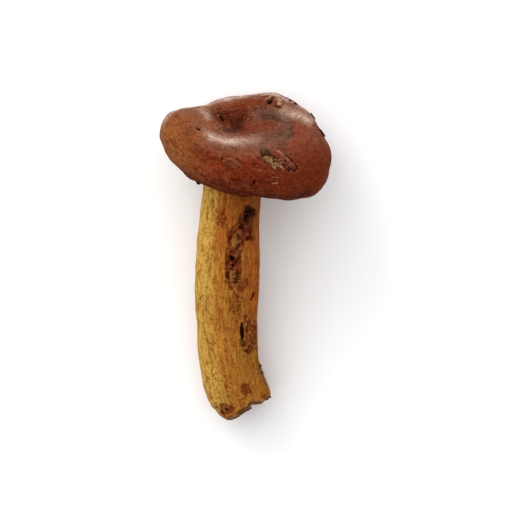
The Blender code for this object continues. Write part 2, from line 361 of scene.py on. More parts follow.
class Paint:
    """A material whose colour is built up in layers, from masks stored on the mesh and noise."""

    def __init__(self, name, colours):
        self.material = bpy.data.materials.new(name)
        self.material.use_nodes = True
        self.tree = self.material.node_tree
        self.colours = colours
        self.colour = linear(*colours["base"])
        self.bump = None
        self.place = self.vector_times(self.node("TexCoord", {})["Object"], (1 / MM,) * 3)  # in millimetres

    def node(self, kind, inputs, **settings):
        return add_node(self.tree, kind, inputs, **settings)

    def grain(self):
        """The coordinates of the streaks, as they are stored on the mesh."""
        return self.node("Attribute", {}, attribute_name="grain")["Vector"]

    def vector_times(self, vector, factors):
        return self.node("VectorMath", {0: vector, 1: factors}, operation="MULTIPLY")[0]

    def noise(self, size, detail=3.0, rough=0.55, vector=None, warp=0.0):
        """Noise that fills 0 to 1, with bumps this many millimetres across."""
        inputs = {"Vector": self.place if vector is None else vector, "Scale": 1 / size}
        inputs.update({"Detail": detail, "Roughness": rough, "Distortion": warp})
        value = self.node("TexNoise", inputs)["Fac"]
        return self.node("MapRange", {"Value": value, "From Min": 0.3, "From Max": 0.7})["Result"]

    def math(self, operation, a, b):
        return self.node("Math", {0: a, 1: b}, operation=operation)[0]

    def product(self, *factors):
        return reduce(lambda a, b: self.math("MULTIPLY", a, b), factors)

    def between(self, value, low, high, to_low=0.0, to_high=1.0):
        """Smoothly from to_low to to_high, as a value goes from low to high."""
        inputs = {"Value": value, "From Min": low, "From Max": high, "To Min": to_low, "To Max": to_high}
        return self.node("MapRange", inputs, interpolation_type="SMOOTHSTEP")["Result"]

    def broken(self, mask, grain, amount, edge):
        """A mask whose edge is broken up by this amount of a noise."""
        ragged = self.product(self.math("SUBTRACT", grain, 0.5), 2 * amount)
        return self.between(self.math("ADD", mask, ragged), 0.5 - edge, 0.5 + edge)

    def layer(self, colour, *amounts):
        """Lay a colour over what is there, by the product of these amounts."""
        over = linear(*self.colours[colour])
        inputs = {"Factor": self.product(*amounts), MIX_UNDER: self.colour, MIX_OVER: over}
        self.colour = self.node("Mix", inputs, data_type="RGBA")[MIX_RESULT]

    def patch(self, name, grain, amount, edge, *amounts):
        """Lay a colour over the mask of the same name, broken up at its edge."""
        self.layer(name, self.broken(name, grain, amount, edge), *amounts)

    def blend(self, colour, value, low, high, most, *amounts):
        """Lay a colour, from none of it where a noise or a mask is low to the most where it is high."""
        self.layer(colour, self.between(value, low, high, 0.0, most), *amounts)

    def vary(self, grain, dark, light):
        """Make the colour darker or lighter with a noise: by these factors at its low and high ends."""
        colour = self.colour[:3] if isinstance(self.colour, tuple) else self.colour
        inputs = {0: colour, "Scale": self.between(grain, 0.15, 0.85, dark, light)}
        self.colour = self.node("VectorMath", inputs, operation="SCALE")[0]

    def relief(self, height, depth, strength):
        """Add a fine relief, this many millimetres deep, to the surface's normal."""
        inputs = {"Strength": strength, "Distance": depth * MM, "Height": height}
        if self.bump is not None:
            inputs["Normal"] = self.bump
        self.bump = self.node("Bump", inputs)["Normal"]

    def finish(self, roughness, specular):
        shader = self.tree.nodes["Principled BSDF"].inputs
        put(self.tree, shader["Base Color"], self.colour)
        put(self.tree, shader["Roughness"], roughness)
        shader["Specular IOR Level"].default_value = specular
        if self.bump is not None:
            put(self.tree, shader["Normal"], self.bump)
        return self.material


def dress(obj, material, node=None):
    """Paint a piece, show it in place of a CAD node, and let it move with the mushroom."""
    obj.data.materials.clear()
    obj.data.materials.append(material)
    if node:
        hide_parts(node)
    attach(obj, "root")


def in_cap_frame(co):
    """Points in the cap's own frame."""
    back = np.array(CAP_MATRIX.inverted())
    return co @ back[:3, :3].T + back[:3, 3]


def cap_turn(local):
    """The angle of each point round the rim's section: 0 straight out, and from -90 to 270 degrees."""
    out = np.hypot(local[:, 0], local[:, 1])
    turn = np.arctan2(local[:, 2], out - RIM_MIDDLE)
    return np.where(turn < -math.pi / 2, turn + 2 * math.pi, turn)


def cap_grain(local):
    """Coordinates that run slowly round the cap and quickly across its rim, for its streaks."""
    out = np.hypot(local[:, 0], local[:, 1]) / MM
    slow = GRAIN_REACH * np.tanh(out / GRAIN_REACH) / np.maximum(out, 0.01)
    across = cap_turn(local) * RIM_RADIUS / MM
    return np.stack([local[:, 0] / MM * slow, local[:, 1] / MM * slow, across], axis=1)


# The dimple: its outline in pixels, how many of them its walls take up, and its depth in millimetres.
BOWL_LEFT = [(208, 108), (208, 115), (213, 123), (221, 130), (227, 133)]
BOWL_LOW = [(221, 130.5), (227, 133), (234, 134), (241, 133)]
BOWL_RIGHT = [(240, 134), (246, 129), (250, 120), (256, 110), (262, 104)]
BOWL_TOP = [(262, 103), (250, 101), (235, 102), (220, 105), (208, 110)]
BOWL_OUTLINE = BOWL_LEFT + BOWL_LOW[2:] + BOWL_RIGHT + BOWL_TOP[:-1]
BOWL_LEFT_WALL = 13
BOWL_LOW_WALL = 1.4
BOWL_RIGHT_WALL = 8
BOWL_DEPTH = 7.0

# The sharp edge down the right side of the cap, and the shelf that runs from it to the rim. Below
# this row the edge leans to the left and blurs, each by this many pixels a row.
SIDE_EDGE = [(294.5, 125), (294, 132), (292.5, 138), (289, 144)]
SIDE_X = 294.5
SIDE_BLUR_FROM = 136
SIDE_LEAN = 0.25
SIDE_SOFT = 1.6
SIDE_BLUR = 1.4
SHELF_EDGE = [(279, 118), (288, 120.5), (296, 124), (306, 126), (317, 126.5)]
SHELF_X = [279, 296, 306, 317]
SHELF_Y = [118, 124, 126, 127]
SHELF_START = (280, 290)
SHELF_STEP = 2.0

# How far what shows of the cap sinks round these lines, or swells where it is below nothing: the depth
# in millimetres, where on the cap, the pixels and how many of them it fades over.
ANYWHERE, LEFT_OF_SIDE, SHELF = "anywhere", "left of the side edge", "shelf"
SWELLS = [
    (1.7, ANYWHERE, [(199, 102), (204, 107), (209, 112), (216, 117)], 2.4),
    (-0.6, ANYWHERE, [(203, 112), (208, 118), (213, 126), (219, 132)], 2.6),
    (1.5, LEFT_OF_SIDE, SIDE_EDGE, 8),
    (-0.8, SHELF, SHELF_EDGE, 9),
    (0.9, ANYWHERE, [(196, 152), (206, 158), (218, 162)], 6),
    (1.3, LEFT_OF_SIDE, [(262, 117), (276, 121)], 9),
    (-0.7, ANYWHERE, [(212, 141), (228, 143), (244, 142)], 4),
    (0.9, ANYWHERE, [(229, 152), (246, 152), (262, 149)], 5),
    (0.6, ANYWHERE, [(184, 135), (190, 150), (200, 166)], 5),
    (0.5, ANYWHERE, [(225, 172), (245, 174), (262, 172)], 5),
]

# Where the cap's outline moves to meet the photograph's: a line of pixels, how many of them the move
# fades over, which way it goes and how many millimetres.
OUTLINE_NUDGES = [
    ([(312, 196), (320, 190), (327, 182)], 9, (0.5, -0.85), 1.4),
    ([(254, 199), (265, 200), (276, 200)], 8, (0, 1), 1.0),
    ([(286, 94), (294, 97), (301, 102)], 8, (-0.2, -1), 1.2),
    ([(222, 191), (238, 194)], 8, (0, -1), 0.8),
    ([(160, 150), (169, 163), (180, 173)], 8, (0.5, 0.85), 1.2),
    ([(178, 105), (190, 104), (206, 101)], 9, (0, -1), 1.5),
    ([(323, 128), (325, 136)], 8, (-1, 0), 1.0),
]

# What is carved into the cap, and the scab, which is only painted.
CAP_CARVED = {
    "pit": [(1, LINE, [(221.5, 116.5), (223, 119)], 0.6, 1.0, 0.5)],
    "wall_left": [
        (1, AREA, [(206, 110), (214, 106), (223, 110), (229, 122), (231, 131), (221, 131), (211, 124)], 6.0)],
    "hole": [(1, AREA, [(266.5, 101), (271.5, 97.5), (273, 98.5), (271, 103.5), (269, 104.5)], 0.9, 0.3, 41)],
    "hole_lip": [(1, LINE, [(263, 98), (268, 96.5), (273, 97), (277.5, 100), (279, 104)], 1.3, 1.8, 1.2)],
    "crack": [(1, LINE, [(254, 108.5), (262, 107.5), (268, 109), (276, 106), (281, 107.5)], 0.25, 0.7, 0.5)],
    "patch": [
        (1, AREA, [(261, 150), (267, 149), (273, 154), (281, 161), (283, 168), (276, 169.5), (268, 165),
                   (262, 158)], 1.5, 1.6, 42)],
    "scar": [
        (1, AREA, [(280, 151), (285, 153), (291, 158), (297, 166), (297, 172), (291, 172), (286, 167),
                   (281, 158)], 1.5, 1.0, 43)],
    "scar_lines": [
        (1, LINE, [(285, 160), (288, 165), (293, 170.5), (296, 171), (297, 166), (291, 159), (284, 154)],
         0.25, 0.6, 0.4),
        (1, LINE, [(283, 164), (287, 168), (290, 171)], 0.3, 0.7, 0.4),
        (1, LINE, [(288, 161), (292, 166), (294, 169)], 0.12, 0.5, 0.4),
    ],
    "cracks": [
        (1, LINE, [(221, 163), (222, 159), (227, 156.5), (232, 157), (236, 160), (243, 164)], 0.2, 0.7, 0.5),
        (1, LINE, [(224, 166), (228, 169), (234, 170), (239, 167.5)], 0.2, 0.7, 0.5),
        (1, LINE, [(231, 161), (236, 165), (242, 167)], 0.12, 0.6, 0.5),
        (1, LINE, [(253, 163), (262, 166)], 0.15, 0.6, 0.4),
        (1, LINE, SHELF_EDGE, 0.1, 0.7, 0.5),
        (1, LINE, SIDE_EDGE[:3], 0.15, 0.7, 0.5),
    ],
    "speck": [(1, LINE, [(196.5, 128), (199.5, 129.5)], 0.35, 0.5, 0.3)],
    "speck_line": [(1, LINE, [(190.5, 124.5), (196, 128)], 0.2, 0.6, 0.3)],
    "marks": [
        (1, LINE, [(251, 178), (255, 179.5), (254, 184), (251, 186)], 0.25, 0.8, 0.7),
        (1, LINE, [(252, 188.5), (257, 190), (262, 189)], 0.3, 0.8, 0.7),
        (1, LINE, [(205, 176), (207.5, 181)], 0.3, 0.8, 0.6),
        (0.7, LINE, [(226, 178), (236, 181), (242, 180)], 0.2, 0.9, 0.9),
        (0.7, LINE, [(236, 186), (246, 188)], 0.2, 0.9, 0.9),
        (1, LINE, [(236, 158), (240, 161.5), (244, 164)], 0.3, 0.7, 0.4),
        (1, LINE, [(318, 172.5), (318.5, 174)], 0.3, 0.6, 0.2),
    ],
    "pale_dash": [
        (1, LINE, [(272.5, 177.5), (279, 177.5)], 0.25, 0.5, 0.4),
        (1, LINE, [(272.5, 183.5), (279, 183)], 0.25, 0.5, 0.4),
        (1, LINE, [(278, 151), (284, 155), (290, 161)], 0.25, 0.8, 0.5),
        (1, LINE, [(287, 163), (292, 169)], 0.2, 0.6, 0.4),
        (1, LINE, [(252, 190.5)], 0.25, 0.4),
        (1, LINE, [(261.5, 189.5)], 0.25, 0.4),
    ],
    "scab": [
        (1, AREA, [(222, 160), (228, 156), (236, 159), (243, 164), (238, 169), (228, 169)], 3.0, 1.2, 44)],
}
# How deep they go in millimetres, or how high where it is below nothing, and how dark they are.
CAP_DEPTHS = {"pit": 1.3, "hole": 2.2, "crack": 0.5, "scar_lines": 0.3, "cracks": 0.22, "speck": 0.7,
              "speck_line": 0.2, "marks": 0.25, "pale_dash": -0.12}
# The darkness is painted shade in these carved hollows, and on the specks and marks partly their own dark
# colour.
CAP_DARKNESS_AND_SHADE = {"hole": 1, "pit": 1, "crack": 0.8, "cracks": 0.62, "scar_lines": 0.9, "speck": 1,
                "marks": 0.8, "speck_line": 0.6}

# The size and the seed of its crumbs, and its waves: their height, size and seed.
CAP_CRUMBS = (1.4, 6)
CAP_WAVES = [(0.40, 8, 1), (0.18, 3.5, 4), (0.06, 1.0, 3)]
WALL_WAVES = [(0.6, 1.9, 5), (0.4, 1.1, 7)]
BOWL_STREAKS = [(0.35, 3.0, 9)]
SCAR_WAVES = [(0.3, 1.3, 8)]
CAP_STREAKS = [(1, 1.8, 2)]
STREAK_HEIGHT = 0.15
SMOOTHER_RIGHT = 0.09  # how much lower the streaks are right of the side edge
FACING_WAVES = [(0.12, 5.0, 45)]

# What is only painted on the cap, painted shade and highlights too. The sheen lies along the top of its
# outline.
LOBE_TOP = [(165, 120), (169, 115.5), (175.5, 111), (187, 108), (199, 108.5)]
BACK_TOP = [(204, 105.5), (214, 102), (235, 97), (254, 94.5), (270, 93.5), (284, 95.5)]
SIDE_TOP = [(284, 95.5), (296, 101), (305, 108), (313, 117)]
CAP_PAINTED = {
    "lobe": [(1, GLOW, [(168, 126), (170, 146), (178, 158)], 11)],
    # Painted shade along the cap's lower edge.
    "margin": [(0.75, GLOW, [(212, 184), (232, 192), (262, 198), (290, 200), (308, 194)], 5.5)],
    # Painted shade at the foot of the dimple's low wall.
    "bowl_floor_shade": [(1, GLOW, [(224, 129.5), (233, 131), (241, 129)], 3.6)],
    "patch_shade": [(0.9, GLOW, [(260, 149), (267, 154)], 4.0)],
    "mauve": [
        (1, GLOW, [(256, 114), (268, 113), (282, 118), (288, 128)], 9),
        (0.8, GLOW, [(262, 140), (274, 136), (286, 133)], 9),
    ],
    "olive_edge": [(1, GLOW, [(293.5, 127), (292.5, 134), (287, 143), (280, 148)], 4.5)],
    "olive_spots_and_shadow": [
        (1, GLOW, [(262, 116), (272, 117), (278, 119)], 3.0),
        # Painted shadow, olive, round the corner of the torn patch.
        (0.9, GLOW, [(262, 150), (268, 152)], 4.0),
    ],
    # Painted highlights: on the shelf, along the front crest and on the fold's edge.
    "shelf_sheen": [(0.9, GLOW, [(285, 111), (298, 114), (309, 120)], 5.5)],
    "sheen": [
        (0.62, GLOW, [(207, 134), (215, 139), (229, 142), (243, 142), (257, 139)], 5.0),
        (1, GLOW, [(212, 138.5), (224, 141), (240, 142)], 3.0),
        (0.95, GLOW, [(201, 109), (205, 112), (208, 116)], 4.0),
    ],
    # Part a real whitish coat and part painted sheen, along the top of the outline.
    "bloom_and_sheen": [
        (1, LINE, LOBE_TOP, 3.0, 7.0, 2.0),
        (0.85, LINE, BACK_TOP, 3.6, 8.0, 2.0),
        (0.8, LINE, SIDE_TOP, 2.6, 7.0, 2.0),
    ],
    # Painted sheen along the very top of the outline, on part of a real whitish coat, and painted highlights
    # on the crest and the shelf.
    "edge_bloom_and_sheen": [
        (0.9, LINE, LOBE_TOP, 1.2, 3.0, 1.4),
        (0.9, LINE, BACK_TOP, 1.4, 3.6, 1.4),
        (0.8, LINE, SIDE_TOP, 1.0, 3.0, 1.4),
        (0.55, GLOW, [(211, 137), (226, 141), (244, 142)], 3.4),
        (0.42, GLOW, [(294, 114), (304, 118), (311, 122)], 3.0),
    ],
    "tan": [(1, GLOW, [(203, 144), (220, 150), (240, 152), (266, 148)], 7)],
    "reddish": [
        (1, GLOW, [(200, 155), (212, 158)], 7),
        (0.9, GLOW, [(222, 180), (238, 183), (262, 180)], 8),
        (0.7, GLOW, [(236, 130), (256, 134)], 4),
    ],
}
# Some of these are painted shade, on the lower side and in the dimple, and some painted sheen and highlights
# on the crest and the outline's top.
SKIN_COLOURS = {
    "base": (114, 41, 18), "ochre": (116, 62, 27), "lobe": (134, 80, 38), "brown": (86, 32, 15),
    "tan": (116, 68, 44), "crown": (96, 46, 27), "reddish": (92, 26, 13), "side": (111, 42, 17),
    "low": (56, 15, 5), "bowl": (92, 39, 23), "deep_bowl_shade": (50, 13, 6), "wall_left": (110, 54, 29),
    "wall_light": (150, 98, 68), "wall_dark": (52, 20, 12), "mauve": (92, 62, 48), "olive": (48, 37, 27),
    "streak_light": (138, 76, 38), "streak_dark": (58, 19, 9), "blotch": (66, 19, 9),
    "fleck_light": (138, 82, 44), "fleck_dark": (44, 15, 8), "sheen_highlight": (174, 147, 126),
    "bloom_and_sheen": (150, 120, 102), "edge_bloom_and_sheen": (214, 196, 182), "lip": (88, 46, 32),
    "lip_light": (166, 128, 98), "lip_dark": (60, 30, 20), "torn": (54, 36, 20),
    "torn_crumbs": (116, 70, 40), "torn_tips": (168, 130, 88), "scar": (120, 66, 50),
    "pale_dash": (158, 114, 82), "under": (176, 156, 86), "under_dark": (128, 104, 50),
    "dark": (14, 8, 6),
}


def bowl_share(cap):
    """How deep in the dimple each vertex is, from 0 outside it to 1 at its lowest."""
    low, top = cap.pixels_from(BOWL_LOW), cap.pixels_from(BOWL_TOP)
    left, right = cap.pixels_from(BOWL_LEFT), cap.pixels_from(BOWL_RIGHT)
    share = smoothstep(top / (top + low + 2), 0, 0.85)
    share = share * smoothstep(left, 0, BOWL_LEFT_WALL) * smoothstep(low, 0, BOWL_LOW_WALL)
    return share * smoothstep(right, 0, BOWL_RIGHT_WALL) * cap.region(BOWL_OUTLINE, 1.0)


def left_of_side(cap):
    """Where the cap lies left of the sharp edge on its right."""
    lower = np.maximum(cap.photo_y - SIDE_BLUR_FROM, 0)
    gap = SIDE_X - cap.photo_x - SIDE_LEAN * lower
    return smoothstep(gap / (SIDE_SOFT + SIDE_BLUR * lower), 0, 1)


def below_shelf(cap):
    """Where the cap lies below the shelf."""
    edge = np.interp(cap.photo_x, SHELF_X, SHELF_Y)
    return smoothstep(cap.photo_y - edge, 0, SHELF_STEP) * smoothstep(cap.photo_x, *SHELF_START)


def sculpt_cap(obj):
    """The cap's large shapes: its deep dimple, the fold on its left and the edges on its right."""
    cap = Surface(obj)
    cap.look()
    cap.blur_shown(SHOWN_BLUR)
    side = left_of_side(cap)
    places = {ANYWHERE: 1, LEFT_OF_SIDE: side, SHELF: (1 - side) * below_shelf(cap)}
    depth = BOWL_DEPTH * bowl_share(cap)
    for amount, place, pixels, reach in SWELLS:
        depth = depth + amount * places[place] * cap.near(pixels, reach)
    cap.sink(MM * depth)
    for line, reach, way, amount in OUTLINE_NUDGES:
        cap.move(np.array((*way, 0)) * (amount * MM * cap.around(line, reach))[:, None])


def carve_cap(cap, side, carved, grain, heights):
    """Carve the features of the cap and the unevenness of its skin."""
    mm = cap.co / MM
    streaks = STREAK_HEIGHT - SMOOTHER_RIGHT * (1 - side)
    depth = sum(deep * carved[name] for name, deep in CAP_DEPTHS.items())
    depth = depth + carved["wall_left"] * waves(mm, WALL_WAVES)
    depth = depth + bowl_share(cap) * waves(grain, BOWL_STREAKS)
    depth = depth - carved["hole_lip"] * (1 - carved["hole"]) * (0.3 + 0.5 * heights)
    depth = depth + carved["patch"] * (0.8 - 0.9 * heights)
    depth = depth + carved["scar"] * (0.15 + waves(mm, SCAR_WAVES))
    depth = depth + waves(mm, CAP_WAVES) + streaks * waves(grain, CAP_STREAKS)
    cap.carve(MM * depth)


def mask_cap(cap, side, carved, grain, heights, facing_waves):
    """Store the masks that the skin's colours follow."""
    painted = cap.find(CAP_PAINTED)
    local = in_cap_frame(cap.co)
    turn = cap_turn(local)
    shelf, bowl = below_shelf(cap), bowl_share(cap)
    lower_side = smoothstep(-cap.normal @ CAP_UP, 0.1, 0.3)
    below_margin = 1 - smoothstep(turn, MARGIN_TURN - 0.08, MARGIN_TURN + 0.04)
    under = np.maximum(below_margin, turn > math.pi) * lower_side
    outward = ((cap.normal @ CAP_AXES)[:, :2] * local[:, :2]).sum(axis=1) / np.hypot(local[:, 0], local[:, 1])
    lip_inside = smoothstep(-outward, 0.0, 0.3) * smoothstep(-local[:, 2] / MM, 4.0, 5.5)
    rim_top = np.exp(-((turn - math.radians(72)) / math.radians(28)) ** 2) * (1 - lower_side)
    facing = 0.05 + 0.95 * smoothstep(cap.normal[:, 2] + facing_waves, -0.1, 0.3)
    # Painted shade: darker on the lower side of the rim's section.
    low = 1 - smoothstep(turn, math.radians(-62), math.radians(-30))
    cap.store_grain(grain)
    cap.store({name: carved[name] for name in ("wall_left", "patch", "scar", "pale_dash")})
    cap.store({name: painted[name] for name in ("lobe", "reddish")})
    cap.store({
        "under": np.maximum(under, lip_inside),
        "ochre": 1 - smoothstep(cap.photo_x + 0.35 * (cap.photo_y - 140), 180, 246),
        "side": (1 - side) * shelf,
        "low": np.maximum(low, painted["margin"]),
        "crown": smoothstep(turn, math.radians(55), math.radians(100)) * (1 - lower_side),
        # The dimple darker, part its own colour and part painted shade.
        "bowl": smoothstep(bowl, 0.0, 0.35),
        # Painted shade in the dimple's depths.
        "deep_bowl_shade": np.maximum(0.8 * smoothstep(bowl, 0.4, 0.95), painted["bowl_floor_shade"]),
        "flesh": 0.8 * carved["hole_lip"],
        "patch_light": carved["patch"] * (1 - painted["patch_shade"]),
        "crumbs": heights,
        # Painted shade in the holes, pit and cracks, with the specks' and marks' own dark colour.
        "dark": np.maximum.reduce([darkness * carved[name] for name, darkness in CAP_DARKNESS_AND_SHADE.items()]),
        "mauve": painted["mauve"] * side,
        "olive": np.maximum(painted["olive_edge"] * side, painted["olive_spots_and_shadow"]),
        # Painted highlights on the crest and the shelf.
        "sheen_highlight": np.maximum(painted["shelf_sheen"] * (1 - shelf), painted["sheen"]),
        # Part a real whitish coat, part painted sheen, fading where the surface turns downwards.
        "bloom_and_sheen": facing * np.maximum(0.35 * rim_top, painted["bloom_and_sheen"]),
        "edge_bloom_and_sheen": facing * painted["edge_bloom_and_sheen"],
        "tan": np.maximum(painted["tan"], 0.9 * carved["scab"]),
    })


def skin_paint():
    skin = Paint("cap_skin", SKIN_COLOURS)
    streaks = skin.grain()
    patches = skin.noise(3.6, 4.0, 0.6)
    mottle = skin.noise(1.7, 5.0, 0.65, streaks, 0.8)
    blotch = skin.noise(2.3, 4.0, 0.65)
    fleck = skin.noise(0.9, 4.0, 0.65)
    speckle = skin.noise(0.5, 3.0, 0.65)

    # The broad colours.
    skin.patch("ochre", patches, 0.35, 0.45)
    skin.patch("lobe", blotch, 0.3, 0.5, 0.7)
    skin.blend("brown", patches, 0.55, 0.95, 0.6)
    skin.patch("tan", mottle, 0.3, 0.5, 0.75)
    skin.patch("crown", patches, 0.3, 0.5, 0.5)
    skin.patch("reddish", mottle, 0.4, 0.4, 0.6)
    skin.layer("side", "side", 0.9)
    # Painted shade on the lower side of the rim and along its lower edge.
    skin.patch("low", mottle, 0.15, 0.5, 0.85)
    # The dimple darker, part its own colour and part painted shade.
    skin.layer("bowl", "bowl", 0.9)
    skin.patch("wall_left", fleck, 0.3, 0.4, 0.85)
    skin.blend("wall_light", fleck, 0.55, 0.9, 1.0, "wall_left")
    skin.blend("wall_dark", fleck, 0.4, 0.1, 1.0, "wall_left")
    # Painted shade, deepest in the dimple and along its low edge.
    skin.layer("deep_bowl_shade", "deep_bowl_shade", 0.95)
    skin.patch("mauve", mottle, 0.4, 0.5)
    # Olive spots and edge, and painted shadow round the torn patch.
    skin.patch("olive", fleck, 0.4, 0.4, 0.7)

    # Streaks and flecks, fewer on the right side and in the dimple.
    plain = skin.math("MAXIMUM", skin.product("side", 0.6), "deep_bowl_shade")
    texture = skin.between(plain, 0.0, 1.0, 1.0, 0.25)
    skin.blend("streak_light", mottle, 0.52, 1.0, 0.6, texture)
    skin.blend("streak_dark", mottle, 0.46, 0.0, 0.75, texture)
    skin.blend("blotch", blotch, 0.6, 0.92, 0.7, texture)
    skin.blend("fleck_light", fleck, 0.68, 1.0, 0.35, texture)
    skin.blend("fleck_dark", fleck, 0.36, 0.0, 0.8, texture)
    skin.vary(speckle, 0.82, 1.16)

    # The painted highlights on the crest and the shelf, and the whitish coat along the outline's top, part
    # real and part painted sheen.
    fleck_mix = skin.math("ADD", skin.product(fleck, 0.6), skin.product(speckle, 0.4))
    whitish = skin.between(fleck_mix, 0.25, 0.75, 0.4, 1.0)
    coat_and_sheen_breakup = skin.product(whitish, skin.between(blotch, 0.1, 0.8, 0.55, 1.0))
    sheen_breakup = skin.between(mottle, 0.3, 0.62, 0.6, 1.0)
    skin.layer("sheen_highlight", "sheen_highlight", whitish, sheen_breakup)
    skin.layer("bloom_and_sheen", "bloom_and_sheen", coat_and_sheen_breakup, 0.6)
    skin.layer("edge_bloom_and_sheen", "edge_bloom_and_sheen", coat_and_sheen_breakup, sheen_breakup)

    # The torn flesh, the scar, the underside, and the very dark painted shade in the holes and cracks.
    lip = skin.broken("flesh", fleck, 0.5, 0.3)
    skin.layer("lip", lip)
    skin.blend("lip_light", "crumbs", -0.2, 0.3, 1.0, lip)
    skin.blend("lip_dark", fleck, 0.4, 0.1, 0.9, lip)
    torn = skin.broken("patch", speckle, 0.3, 0.25)
    lit = skin.product(torn, "patch_light")
    skin.layer("torn", torn)
    skin.blend("torn_crumbs", "crumbs", -0.2, 0.3, 1.0, lit)
    skin.blend("torn_tips", "crumbs", 0.25, 0.7, 1.0, lit)
    skin.patch("scar", fleck, 0.5, 0.35, 0.75)
    skin.patch("pale_dash", fleck, 0.4, 0.4, 0.75)
    skin.layer("under", "under")
    skin.blend("under_dark", mottle, 0.5, 0.9, 0.8, "under")
    # Painted shade, very dark, in the holes, pit and cracks, with the dark specks and marks.
    skin.blend("dark", "dark", 0.2, 0.75, 0.93)

    skin.relief(mottle, 0.16, 0.7)
    skin.relief(fleck, 0.09, 0.7)
    skin.relief(speckle, 0.05, 0.7)
    return skin.finish(skin.between(mottle, 0.0, 1.0, 0.6, 0.42), FLESH_SPECULAR)


def build_cap():
    obj = fine_copy("cap", "cap_skin_and_flesh", *ROUGH_CAP_MESH)
    sculpt_cap(obj)
    remesh(obj, *CAP_MESH)
    cap = Surface(obj)
    cap.look()
    mm = cap.co / MM
    grain = cap_grain(in_cap_frame(cap.co))
    heights = crumbs(mm, *CAP_CRUMBS)
    side = left_of_side(cap)
    carved = cap.find(CAP_CARVED)
    carve_cap(cap, side, carved, grain, heights)
    cap.look()
    mask_cap(cap, side, carved, grain, heights, waves(mm, FACING_WAVES))
    dress(obj, skin_paint(), "cap")
    return cap


# How far the right side of the stem is trimmed, in millimetres, at these rows of the photograph.
TRIM_AT = [200, 214, 235, 330, 349, 360, 376, 387, 396, 405]
TRIM = [1.1, 1.0, 0.4, 0.4, 1.2, 2.3, 2.4, 1.7, 1.4, 0.2]
# How deep the torn end is notched at these columns, or how much fuller where it is below nothing.
NOTCH_AT = [217, 226, 238, 242, 248, 251, 257, 262, 267]
NOTCH = [0, -0.9, -0.7, 0, 1.5, 2.3, 1.7, 1.0, 0]
# Along the stem, in millimetres, from foot to cap.
NOTCH_FADE = (-59, -50)
FOOT_FADE = (-58, -44)
TOP_FADE = (34, 38)
TORN_END_AIM = np.array((-0.46, 0.89, 0))  # from the torn end into the stem
SLICE_EDGES = 45  # the middle of the stem is found in slices between so many edges
GRAIN_STRETCH = 0.13  # how slowly the fibres change along the stem
GRAIN_SWAY = 0.9
# The waves of the stem: their height, size and seed.
SWAY = [(1, 14, 11)]
COLOUR_SWAY = [(1, 9, 21)]
FIBRE_WAVES = [(0.34, 2.6, 12), (0.20, 1.1, 13)]
STEM_WAVES = [(0.50, 9, 14)]
FOOT_WAVES = [(0.45, 1.8, 15)]
END_WAVES = [(0.9, 3.0, 19)]
END_CRUMBS = (1.5, 20)  # their size and seed
END_CRUMB_HEIGHT = 0.55

